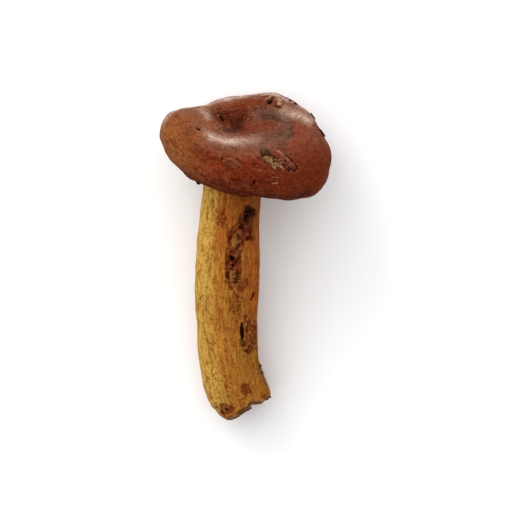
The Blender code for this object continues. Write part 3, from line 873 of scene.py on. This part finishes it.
STEM_CARVED = {
    "rot": [
        (1, AREA, [(247, 205.5), (254, 206), (256, 213), (253, 220), (247, 224), (241, 226), (242.5, 215)],
         7.0, 2.4, 51),
        (0.8, AREA, [(240, 219), (246, 218), (245, 228), (239.5, 229)], 4.0, 1.6, 52),
    ],
    # Holes and slits, painted very dark with the shade in them.
    "shaded_holes": [
        (1, AREA, [(230.5, 256), (233, 256), (236, 259), (235, 261.5), (232, 261.5)], 1.6, 1.2, 53),
        (1, LINE, [(232.5, 265), (234, 266)], 0.35, 0.5, 0.3),
        (1, LINE, [(237, 262.5)], 0.3, 0.4),
        (1, LINE, [(231, 268.5)], 0.25, 0.4),
        (0.7, LINE, [(247.5, 210), (250, 214), (248.5, 219)], 0.5, 1.0, 0.8),
        (1, LINE, [(238, 271), (238.3, 272)], 0.3, 0.4, 0.2),
        (1, AREA, [(253, 291.5), (255.8, 293), (255.3, 297), (252.3, 301.5), (251, 299.5), (252.5, 296)],
         0.7, 0.3, 54),
        (1, AREA, [(241.2, 322), (244, 323), (245, 332), (245.3, 339), (241.3, 339.5), (240.2, 331)],
         0.7, 0.3, 55),
    ],
    "slit_end": [
        (1, AREA, [(240.6, 338), (244.8, 338), (246.5, 345), (243.5, 348.5), (240.8, 345)], 1.0, 0.6, 56)],
    "recess": [
        (1, AREA, [(240, 224), (252, 226), (253, 238), (246, 241), (243, 250), (240, 262), (241, 274),
                   (238, 283), (231, 285), (227, 277), (226.5, 262), (229, 250), (229, 239), (234, 231)],
         2.5, 1.6, 57)],
    "cream": [
        (0.9, AREA, [(236, 231), (242, 234), (242, 240), (238, 248), (232, 248), (231, 240)], 4.0, 1.6, 58),
        (0.8, AREA, [(228, 266), (236, 265), (240, 274), (238, 283), (231, 282), (228, 276)], 4.0, 1.6, 59),
        (0.6, AREA, [(235, 248), (243, 247), (243, 256), (236, 257)], 3.0, 1.4, 60),
        (0.5, LINE, [(241.5, 219), (238, 226), (234, 232)], 0.5, 0.9, 0.5),
    ],
    "lump": [(1, AREA, [(245, 221), (251, 221), (253, 226), (250, 230.5), (245.5, 229)], 2.0, 0.8, 61)],
    "loops": [
        (1, LINE, [(233, 277), (240, 275.5), (246, 279), (247, 286), (242, 290), (237, 288)], 0.5, 1.1, 0.8),
        (1, LINE, [(236, 281), (241, 282), (242, 287)], 0.5, 1.1, 0.8),
    ],
    "red": [
        (1, LINE, [(246, 206), (241, 214), (238, 222), (231, 231), (228, 238)], 0.4, 1.2, 0.9),
        (1, LINE, [(228, 236), (226.5, 250), (226, 262), (226.5, 276), (230, 285), (234, 292)],
         0.45, 1.3, 0.8),
        (1, AREA, [(246, 230), (253, 229), (254, 240), (247, 241)], 2.0, 1.4, 62),
        (1, AREA, [(226, 233), (233, 231), (234, 239), (228, 241)], 2.5, 1.4, 63),
        (1, AREA, [(236.5, 258), (241, 260), (242, 274), (238, 275)], 2.0, 1.2, 64),
        (0.7, AREA, [(232, 278), (238, 275), (246, 277), (249, 285), (244, 292), (236, 291)], 5.0, 2.0, 72),
        (1, LINE, [(225, 281), (229, 287), (234, 293), (240, 297), (245, 300)], 0.2, 0.9, 0.6),
        (0.5, AREA, [(231, 292), (243, 294), (245, 306), (243, 318), (236, 324), (230, 314), (229, 300)],
         7.0, 2.5, 65),
        (0.6, AREA, [(214, 207), (226, 208), (228, 222), (224, 229), (216, 225)], 7.0, 2.5, 66),
        (0.8, AREA, [(240, 384), (246, 382), (251.5, 386), (251, 393), (245, 396.5), (240, 393)],
         3.0, 2.0, 67),
        (0.6, AREA, [(259, 392), (267, 393), (267, 400), (261, 401)], 4.0, 2.0, 68),
        (0.9, AREA, [(218, 404), (230, 403), (237, 407), (232, 414), (222, 415)], 3.5, 2.2, 69),
        (0.8, LINE, [(217, 407), (222, 413), (229, 418), (235, 419)], 0.6, 1.2, 0.6),
        (0.5, AREA, [(199, 296), (202, 296), (202, 301), (199, 301)], 2.0),
        (0.4, AREA, [(202, 337), (215, 338), (216, 347), (204, 348)], 6.0, 2.0, 70),
        (0.5, LINE, [(212, 372), (216, 380), (224, 382), (228, 387)], 0.8, 2.2, 1.2),
    ],
    "crumble": [
        (1, AREA, [(244.5, 316), (256, 320), (258, 336), (257.5, 350), (248, 356), (244, 350), (246, 340),
                   (245, 330)], 2.5, 1.8, 71)],
    "dots": [
        (1, LINE, [(198.8, 344.5), (199.5, 346.5)], 0.2, 0.35, 0.2),
        (1, LINE, [(200, 358)], 0.35, 0.3),
        (1, LINE, [(207, 400.5)], 0.35, 0.4),
        (1, LINE, [(225.5, 409), (227, 410)], 0.4, 0.8, 0.6),
        (1, LINE, [(233, 405)], 0.3, 0.5),
        (1, LINE, [(221, 411), (224, 414)], 0.4, 0.9, 0.6),
        (1, LINE, [(215, 379)], 0.25, 0.6, 0.4),
        (1, LINE, [(222, 379.5)], 0.25, 0.6, 0.4),
        (1, LINE, [(227, 385.5)], 0.2, 0.6, 0.4),
    ],
    "tufts": [
        (1, LINE, [(213, 372), (215, 378)], 0.3, 1.2, 0.6),
        (1, LINE, [(220.7, 362), (221.5, 371)], 0.3, 1.2, 0.6),
        (1, LINE, [(224, 374), (226, 384)], 0.3, 1.2, 0.6),
        (1, LINE, [(229, 384), (233, 389)], 0.3, 1.2, 0.6),
    ],
}
# How deep they go in millimetres, or how high where it is below nothing.
STEM_DEPTHS = {"shaded_holes": 1.8, "slit_end": 0.8, "lump": -0.7, "loops": -0.45, "dots": 0.25, "tufts": -0.35}
# The crumbly ones: how deep, how high their crumbs, and the size and the seed of the crumbs.
STEM_CRUMBLY = {
    "recess": (0.9, 0.6, 1.4, 16),
    "rot": (0.8, 0.9, 1.2, 23),
    "crumble": (0.3, 0.55, 0.9, 18),
}
STEM_PAINTED = {
    "grey": [(0.8, GLOW, [(260, 369), (264, 377), (267, 384)], 3.0)],
    "fringe": [(1, LINE, [(233, 417), (240, 412), (246, 408), (250, 404), (256, 402.5), (264, 399)],
                0.7, 1.0, 0.7)],
}
STEM_COLOURS = {
    "base": (158, 100, 34), "yellow_and_lit_side": (188, 152, 70), "red_side": (172, 84, 29), "upper": (160, 84, 31),
    "brown": (130, 70, 23), "blotch_dark": (124, 64, 21), "blotch_light": (184, 134, 54),
    "fibre_light": (180, 122, 46), "fibre_dark": (112, 60, 20), "thread_light": (198, 150, 70),
    "thread_dark": (96, 50, 17), "fleck": (92, 46, 15), "red": (96, 30, 14), "recess": (54, 20, 11),
    "recess_crumbs": (112, 44, 21), "recess_tips": (140, 74, 34), "cream": (162, 114, 56),
    "cream_specks": (64, 34, 22), "lump": (106, 52, 27), "crumble": (66, 21, 10),
    "crumble_crumbs": (138, 74, 30), "crumble_tips": (176, 118, 64), "crumble_dark": (60, 18, 10),
    "grey": (72, 46, 24), "rot": (44, 18, 10), "rot_crumbs": (92, 42, 21), "torn": (92, 56, 32),
    "torn_crumbs": (156, 118, 78), "torn_dark": (66, 42, 26), "dark": (12, 7, 6),
}


def stem_middle(stem):
    """Where the middle of the stem is beside each vertex: how far across, and how high."""
    along = stem.co[:, 1]
    edges = np.linspace(along.min(), along.max(), SLICE_EDGES)
    which = np.clip(np.digitize(along, edges) - 1, 0, len(edges) - 2)
    middles = (edges[1:] + edges[:-1]) / 2
    slices = [stem.co[which == i].mean(axis=0) for i in range(len(middles))]
    return [np.interp(along, middles, [place[axis] for place in slices]) for axis in (0, 2)]


def shape_stem(stem, grain, centre_x):
    """The stem's fibres and waves, its outline and its torn end. Returns where that end is."""
    along = stem.co[:, 1] / MM
    foot = 1 - smoothstep(along, *FOOT_FADE)
    end = smoothstep(-stem.normal @ TORN_END_AIM, 0.35, 0.8) * foot
    sides = (1 - end) * (1 - smoothstep(along, *TOP_FADE))
    fibres = waves(grain, FIBRE_WAVES) + foot * waves(grain, FOOT_WAVES)
    stem.carve(MM * sides * (fibres + waves(stem.co / MM, STEM_WAVES)))
    trim = np.interp(stem.photo_y, TRIM_AT, TRIM) * smoothstep((stem.co[:, 0] - centre_x) / MM, 0, 10)
    stem.move(np.array((-MM, 0, 0)) * trim[:, None])
    notch = np.interp(stem.photo_x, NOTCH_AT, NOTCH) * (1 - smoothstep(stem.co[:, 1] / MM, *NOTCH_FADE))
    stem.move(np.array((0, MM, 0)) * notch[:, None])
    return end


def flesh_paint():
    flesh = Paint("stem_flesh", STEM_COLOURS)
    streaks = flesh.grain()
    patches = flesh.noise(4.5, 3.0, 0.6)
    blotch = flesh.noise(1.9, 4.0, 0.65, flesh.vector_times(streaks, (1.0, 1.0, 3.0)), 0.8)
    fibre = flesh.noise(1.4, 5.0, 0.65, streaks, 0.6)
    thread = flesh.noise(0.6, 4.0, 0.65, streaks, 0.8)
    fleck = flesh.noise(0.8, 4.0, 0.65)
    fine = flesh.noise(0.4, 3.0, 0.6)

    # The broad colours and the fibres.
    # Yellower on the left: part its own colour, part painted light on the side that faces up.
    flesh.patch("yellow_and_lit_side", fibre, 0.4, 0.6, 0.95)
    flesh.patch("red_side", fibre, 0.3, 0.5, 0.9)
    flesh.patch("upper", patches, 0.4, 0.5, 0.85)
    flesh.blend("brown", patches, 0.5, 0.9, 0.55)
    flesh.blend("blotch_dark", blotch, 0.6, 0.95, 0.6)
    flesh.blend("blotch_light", blotch, 0.4, 0.05, 0.45)
    flesh.blend("fibre_light", fibre, 0.6, 1.0, 0.5)
    flesh.blend("fibre_dark", fibre, 0.45, 0.0, 0.7)
    flesh.blend("thread_light", thread, 0.60, 1.0, 0.55)
    flesh.blend("thread_dark", thread, 0.40, 0.0, 0.8)
    flesh.blend("fleck", fleck, 0.74, 1.0, 0.7)
    flesh.vary(fine, 0.86, 1.14)
    flesh.patch("red", fleck, 0.5, 0.4, 0.85)

    # The eaten wound, with its cream rims, and the lump in it.
    opened = flesh.broken("recess", fleck, 0.4, 0.3)
    flesh.layer("recess", opened, 0.9)
    flesh.blend("recess_crumbs", "recess_crumbs", -0.45, 0.1, 1.0, opened)
    flesh.blend("recess_tips", "recess_crumbs", 0.1, 0.7, 1.0, opened)
    cream = flesh.product(flesh.broken("cream", fleck, 0.5, 0.3), flesh.between("recess_crumbs", -0.4, 0.5))
    flesh.layer("cream", cream, 0.85)
    flesh.blend("cream_specks", fine, 0.5, 0.8, 0.9, cream)
    flesh.patch("lump", fleck, 0.3, 0.3, 0.8)

    # The crumbly hole below it, the grey and the rotten places, the torn end, and the very dark painted shade
    # in the holes and slits, with the dark dots.
    holed = flesh.broken("crumble", fleck, 0.5, 0.3)
    flesh.layer("crumble", holed, 0.85)
    flesh.blend("crumble_crumbs", "crumble_crumbs", -0.4, 0.1, 1.0, holed)
    flesh.blend("crumble_tips", "crumble_crumbs", 0.25, 0.75, 1.0, holed)
    flesh.blend("crumble_dark", fine, 0.35, 0.1, 0.8, holed)
    flesh.patch("grey", fleck, 0.7, 0.3, 0.8)
    rotten = flesh.broken("rot", fleck, 0.7, 0.35)
    flesh.layer("rot", rotten)
    flesh.blend("rot_crumbs", "rot_crumbs", 0.0, 0.6, 1.0, rotten)
    torn = flesh.broken("torn", fleck, 0.4, 0.3)
    flesh.layer("torn", torn)
    flesh.blend("torn_crumbs", "end_crumbs", -0.3, 0.5, 1.0, torn)
    flesh.blend("torn_dark", fine, 0.4, 0.1, 0.8, torn)
    flesh.layer("dark", flesh.between(flesh.broken("dark", fleck, 0.25, 0.4), 0.1, 0.7, 0.0, 0.96))

    flesh.relief(fibre, 0.22, 0.7)
    flesh.relief(thread, 0.12, 0.7)
    flesh.relief(fine, 0.05, 0.6)
    return flesh.finish(flesh.between(fibre, 0.0, 1.0, 0.72, 0.5), FLESH_SPECULAR)


def build_stem():
    obj = fine_copy("stem", "fibrous_stem", *STEM_MESH)
    stem = Surface(obj)
    centre_x, centre_z = stem_middle(stem)
    sway = GRAIN_SWAY * waves(stem.co / MM, SWAY)
    across, above = (stem.co[:, 0] - centre_x) / MM, (stem.co[:, 2] - centre_z) / MM
    grain = np.stack([across + sway, above - sway, stem.co[:, 1] / MM * GRAIN_STRETCH], axis=1)
    end = shape_stem(stem, grain, centre_x)
    stem.look()

    carved = stem.find(STEM_CARVED)
    mm = stem.co / MM
    heights = {name: crumbs(mm, size, seed) for name, (_, _, size, seed) in STEM_CRUMBLY.items()}
    end_heights = crumbs(mm, *END_CRUMBS)
    depth = sum(deep * carved[name] for name, deep in STEM_DEPTHS.items())
    for name, (deep, high, _, _) in STEM_CRUMBLY.items():
        depth = depth + carved[name] * (deep - high * heights[name])
    depth = depth - end * (waves(mm, END_WAVES) + END_CRUMB_HEIGHT * end_heights)
    stem.carve(MM * depth)

    painted = stem.find(STEM_PAINTED)
    across = (stem.co[:, 0] - centre_x) / MM
    sway = waves(mm, COLOUR_SWAY)
    lower = smoothstep(stem.photo_y, 290, 350)
    left = 1 - smoothstep(across + 1.5 * sway, -10, -2)
    upper = 1 - smoothstep(stem.photo_y, 215, 290)
    stem.store_grain(grain)
    stem.store({
        # Yellower on the left side, part its own colour and part painted light, none where it faces the
        # floor.
        "yellow_and_lit_side": left * smoothstep(stem.normal[:, 2], -0.8, 0.2) * (1 - 0.2 * lower),
        "red_side": smoothstep(across + sway, 2, 12) * (1 - 0.7 * lower),
        "upper": upper * smoothstep(across + sway, -8, -3),
        "red": np.maximum(carved["red"], 0.9 * carved["loops"]),
        "grey": np.maximum(0.8 * carved["slit_end"], painted["grey"]),
        # Painted shade in the holes and slits, with the dark dots.
        "dark": np.maximum(carved["shaded_holes"], 0.8 * carved["dots"]),
        "torn": np.maximum(end, painted["fringe"]),
        "end_crumbs": end_heights,
    })
    stem.store({name: carved[name] for name in ("cream", "recess", "lump", "rot", "crumble")})
    stem.store({name + "_crumbs": values for name, values in heights.items()})
    dress(obj, flesh_paint(), "stem")
    return stem


PORE_PITCH = 0.68 * MM
PORE_JITTER = 0.22 * PORE_PITCH
PORE_DEPTH = 0.55 * MM
PORE_REACH = 26 * MM
PORE_SEED = 7
TUBE_WAVES = [(0.25, 6, 31)]
TUBE_COLOURS = {
    "base": (196, 176, 92), "dull": (168, 150, 66), "green": (132, 128, 62), "pore": (92, 78, 30),
    "light": (214, 198, 122),
}


def pore_walls(local):
    """How far from the walls between the pores each point is, as a share of their pitch."""
    draw = random.Random(PORE_SEED)
    pores = []
    row = 0
    y = -PORE_REACH
    while y < PORE_REACH:
        x = -PORE_REACH + (row % 2) * PORE_PITCH / 2
        while x < PORE_REACH:
            across, along = draw.uniform(-PORE_JITTER, PORE_JITTER), draw.uniform(-PORE_JITTER, PORE_JITTER)
            pores.append((x + across, y + along, 0.0))
            x += PORE_PITCH
        y += PORE_PITCH * math.sqrt(0.75)
        row += 1
    tree = KDTree(len(pores))
    for i, pore in enumerate(pores):
        tree.insert(pore, i)
    tree.balance()
    gaps = np.empty(len(local))
    for i, point in enumerate(local):
        (_, _, nearest), (_, _, second) = tree.find_n((point[0], point[1], 0.0), 2)
        gaps[i] = (second - nearest) / PORE_PITCH
    return gaps


def build_tube_layer():
    """The tubes' mouths: a jittered honeycomb of pits over the lower face of the ring."""
    obj = fine_copy("tube_layer", "pored_tube_layer", *TUBE_MESH)
    tubes = Surface(obj)
    gaps = pore_walls(in_cap_frame(tubes.co))
    pit = smoothstep(gaps, 0.10, 0.42) * smoothstep(-tubes.normal @ CAP_UP, 0.15, 0.5)
    unevenness = MM * waves(tubes.co / MM, TUBE_WAVES)
    tubes.move(CAP_UP * (PORE_DEPTH * pit)[:, None] - tubes.normal * unevenness[:, None])
    tubes.store({"pit": pit})

    paint = Paint("tubes", TUBE_COLOURS)
    broad = paint.noise(5.0, 3.0)
    fine = paint.noise(0.4, 2.0)
    paint.blend("dull", broad, 0.25, 0.85, 0.8)
    paint.blend("green", broad, 0.7, 1.0, 0.7)
    paint.blend("pore", "pit", 0.3, 1.0, 0.85)
    paint.blend("light", fine, 0.6, 0.9, 0.4)
    paint.relief(fine, 0.05, 0.6)
    dress(obj, paint.finish(0.75, TUBE_SPECULAR), "tube_layer")


# What sticks to the mushroom, and the share of each piece that is pressed into what it lies on.
CAP_LITTER = ("rim_scrap_upper", "rim_scrap_lower", "rim_speck_back", "rim_speck_right", "rim_speck_left",
              "margin_crumb")
FOOT_CRUMBS = ("foot_crumb_upper", "foot_crumb_lower")
SOIL_CLODS = ("soil_clod_left", "soil_clod_middle", "soil_clod_right")
LEAF_BURIED = 0.35
CRUMB_BURIED = 0.2
SOIL_BURIED = 0.5
PRESSES = 3  # how often a piece is pressed in, each time from where it has come to lie
SAMPLE_STEP = 9  # every so many vertices of a piece say how deep it lies
# Leaf and soil: the size of the coarse grain and over which values it lightens, the size of the fine
# grain and over which values it darkens, how deep and how strong the relief is, and the roughness.
LEAF_GRAIN = (0.9, (0.5, 0.8), 0.3, (0.55, 0.8), 0.12, 0.8, 0.75)
SOIL_GRAIN = (0.8, (0.55, 0.8), 0.25, (0.5, 0.75), 0.15, 0.9, 0.9)
LEAF_COLOURS = {"base": (44, 27, 19), "light": (84, 48, 30), "dark": (22, 14, 12)}
SOIL_COLOURS = {"base": (96, 66, 42), "light": (108, 92, 72), "dark": (34, 24, 17)}

# The loose threads: the pixels they stand along, how many, their length and radius, their lean and a seed.
STRANDS = ([(263, 159), (268, 160), (274, 164), (279, 167)], 30, 3.0 * MM, 0.15 * MM, (0.9, -0.5, -0.9), 3)
FUZZ = ([(259, 368), (263, 374), (267, 381)], 70, 1.3 * MM, 0.05 * MM, (0.2, 0, 0.2), 4)
STRAND_COLOURS = {"base": (160, 126, 86)}
FUZZ_COLOURS = {"base": (158, 124, 80)}
THREAD_SCATTER = 1.5  # how many pixels off their line threads stand
THREAD_SPREAD = 0.6
THREAD_BEND = 0.5
THREAD_POINTS = 5
THREAD_TIP = 0.3  # how thick a thread's tip is, as a share of its root


def litter_paint(name, colours, coarse_size, light, fine_size, dark, depth, strength, roughness):
    """A speckled material, lighter where a coarse noise is high and darker where a fine one is."""
    litter = Paint(name, colours)
    coarse = litter.noise(coarse_size, 4.0, 0.6)
    fine = litter.noise(fine_size, 3.0, 0.6)
    litter.blend("light", coarse, *light, 0.8)
    litter.blend("dark", fine, *dark, 0.8)
    litter.relief(fine, depth, strength)
    return litter.finish(roughness, LITTER_SPECULAR)


def thread_paint(name, colours):
    thread = Paint(name, colours)
    thread.vary(thread.noise(0.6, 3.0), 0.6, 1.3)
    return thread.finish(0.7, LITTER_SPECULAR)


def build_litter(node, material, host, buried):
    """A ragged lump in place of a CAD one, with this share of it pressed into what it lies on."""
    obj = fine_copy(node, node + "_ragged", *LITTER_MESH)
    lump = Surface(obj)
    seed = sum(ord(letter) for letter in node)
    lump.carve(MM * waves(lump.co / MM, [(0.30, 1.1, seed), (0.16, 0.45, seed + 7)]))
    for _ in range(PRESSES):
        depths, ways = [], []
        for place in lump.co[::SAMPLE_STEP]:
            foot, normal, _, _ = host.tree.find_nearest(place)
            depths.append((Vector(place) - foot).dot(normal))
            ways.append(normal)
        way = np.mean(ways, axis=0)
        lump.move(-way / np.linalg.norm(way) * np.quantile(depths, buried))
    dress(obj, material, node)


def build_threads(name, host, pixels, count, length, radius, lean, seed, slot, material):
    """Short curved threads that stand off the surface near these pixels."""
    draw = random.Random(seed)
    curve = bpy.data.curves.new(name, "CURVE")
    curve.dimensions = "3D"
    curve.bevel_depth = radius
    curve.bevel_resolution = 1
    curve.use_fill_caps = True
    for _ in range(count):
        low = draw.randrange(len(pixels) - 1)
        start = Vector(pixels[low]).lerp(Vector(pixels[low + 1]), draw.random())
        start.x += draw.uniform(-THREAD_SCATTER, THREAD_SCATTER)
        start.y += draw.uniform(-THREAD_SCATTER, THREAD_SCATTER)
        root = host.spot(start)
        _, normal, _, _ = host.tree.find_nearest(root)
        spread = Vector([draw.uniform(-THREAD_SPREAD, THREAD_SPREAD) for _ in range(3)])
        way = (normal + Vector(lean) + spread).normalized()
        bend = Vector([draw.uniform(-THREAD_BEND, THREAD_BEND) for _ in range(3)])
        reach = length * draw.uniform(0.5, 1.0)
        spline = curve.splines.new("POLY")
        spline.points.add(THREAD_POINTS - 1)
        for i, point in enumerate(spline.points):
            share = i / (THREAD_POINTS - 1)
            place = root - normal * radius + way * reach * share + bend * reach * share**2
            point.co = (*place, 1)
            point.radius = 1 - (1 - THREAD_TIP) * share
    dress(link(bpy.data.objects.new(name, curve)), material)


def build_litter_and_threads(cap, stem):
    leaf = litter_paint("leaf_litter", LEAF_COLOURS, *LEAF_GRAIN)
    soil = litter_paint("soil", SOIL_COLOURS, *SOIL_GRAIN)
    for node in CAP_LITTER:
        build_litter(node, leaf, cap, LEAF_BURIED)
    for node in FOOT_CRUMBS:
        build_litter(node, soil, stem, CRUMB_BURIED)
    for node in SOIL_CLODS:
        build_litter(node, soil, stem, SOIL_BURIED)
    strand, fuzz = thread_paint("strand_flesh", STRAND_COLOURS), thread_paint("fuzz", FUZZ_COLOURS)
    build_threads("torn_flesh_strands", cap, *STRANDS, "cap_skin", strand)
    build_threads("foot_fuzz", stem, *FUZZ, "stem_flesh", fuzz)


def build_floor():
    bpy.ops.mesh.primitive_plane_add(size=FLOOR_SIZE, location=(0, 0, 0))
    floor = bpy.context.object
    floor.name = "floor"
    material = bpy.data.materials.new("pale_floor")
    material.use_nodes = True
    shader = material.node_tree.nodes["Principled BSDF"]
    shader.inputs["Base Color"].default_value = FLOOR_COLOUR
    shader.inputs["Roughness"].default_value = 0.9
    shader.inputs["Specular IOR Level"].default_value = 0.1
    floor.data.materials.append(material)


def build_lights():
    """A soft white dome, brightest at the upper left, and one softbox on that side."""
    world = bpy.data.worlds.new("studio")
    world.use_nodes = True
    tree = world.node_tree
    place = add_node(tree, "TexCoord", {})["Generated"]
    aim = add_node(tree, "VectorMath", {0: place, 1: DOME_AIM}, operation="DOT_PRODUCT")["Value"]
    shades = {"From Min": DOME_EDGE, "From Max": 1.0, "To Min": DOME_DIM, "To Max": DOME_BRIGHT}
    glow = add_node(tree, "MapRange", {"Value": aim, **shades})["Result"]
    put(tree, tree.nodes["Background"].inputs["Strength"], glow)
    put(tree, tree.nodes["Background"].inputs["Color"], (1, 1, 1, 1))
    bpy.context.scene.world = world

    light = bpy.data.lights.new("softbox", "AREA")
    light.shape = "DISK"
    light.size = SOFTBOX_SIZE
    light.energy = SOFTBOX_POWER
    light.color = SOFTBOX_COLOUR
    softbox = link(bpy.data.objects.new("softbox", light))
    softbox.location = SOFTBOX_PLACE
    softbox.rotation_euler = (SOFTBOX_AIM - Vector(SOFTBOX_PLACE)).to_track_quat("-Z", "Y").to_euler()


def build_camera():
    data = bpy.data.cameras.new("camera")
    data.sensor_width = SENSOR
    data.lens = SENSOR * CAMERA_RISE / (PHOTO_SIZE * PIXEL)
    data.clip_start = CAMERA_CLIP
    camera = link(bpy.data.objects.new("camera", data))
    camera.location = CAMERA_PLACE
    bpy.context.scene.camera = camera
    bpy.context.scene.view_settings.view_transform = "Standard"


build_camera()
build_lights()
build_floor()
cap = build_cap()
stem = build_stem()
build_tube_layer()
build_litter_and_threads(cap, stem)
